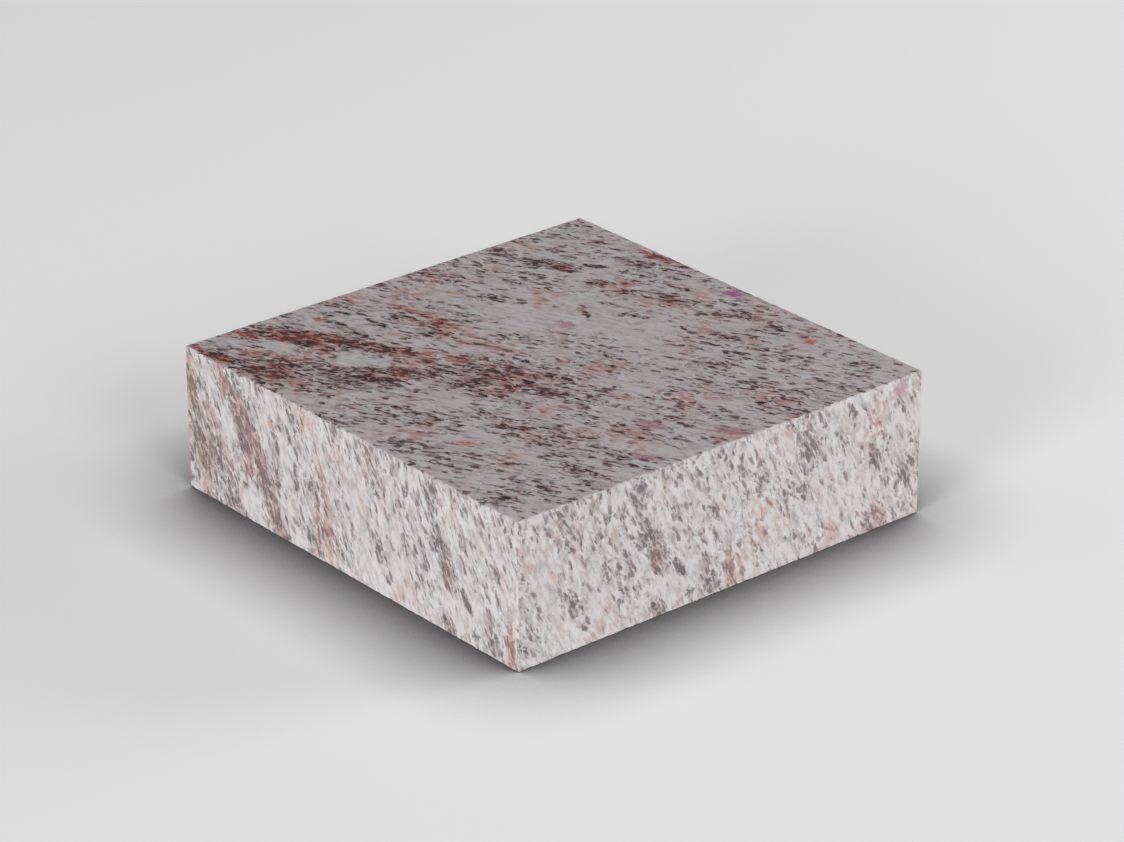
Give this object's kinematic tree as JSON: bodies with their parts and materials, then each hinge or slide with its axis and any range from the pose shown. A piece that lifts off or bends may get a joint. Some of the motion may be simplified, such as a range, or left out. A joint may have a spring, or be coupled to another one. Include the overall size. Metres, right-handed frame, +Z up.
{
  "type": "granite sett",
  "caption": "Flat square paving block of speckled grey-pink granite, sawn on every face, laid on its bed with joints all round.",
  "frame": {"origin": "middle of the bed face, the underside that the sett lies on", "axes": "+Z up from the bed face to the wear face; X and Y square to the four joint faces"},
  "size_m": [0.1, 0.1, 0.03],
  "materials": {
    "granite": "sawn"
  },
  "bodies": {
    "root": {"sett": "granite"}
  },
  "joints": []
}
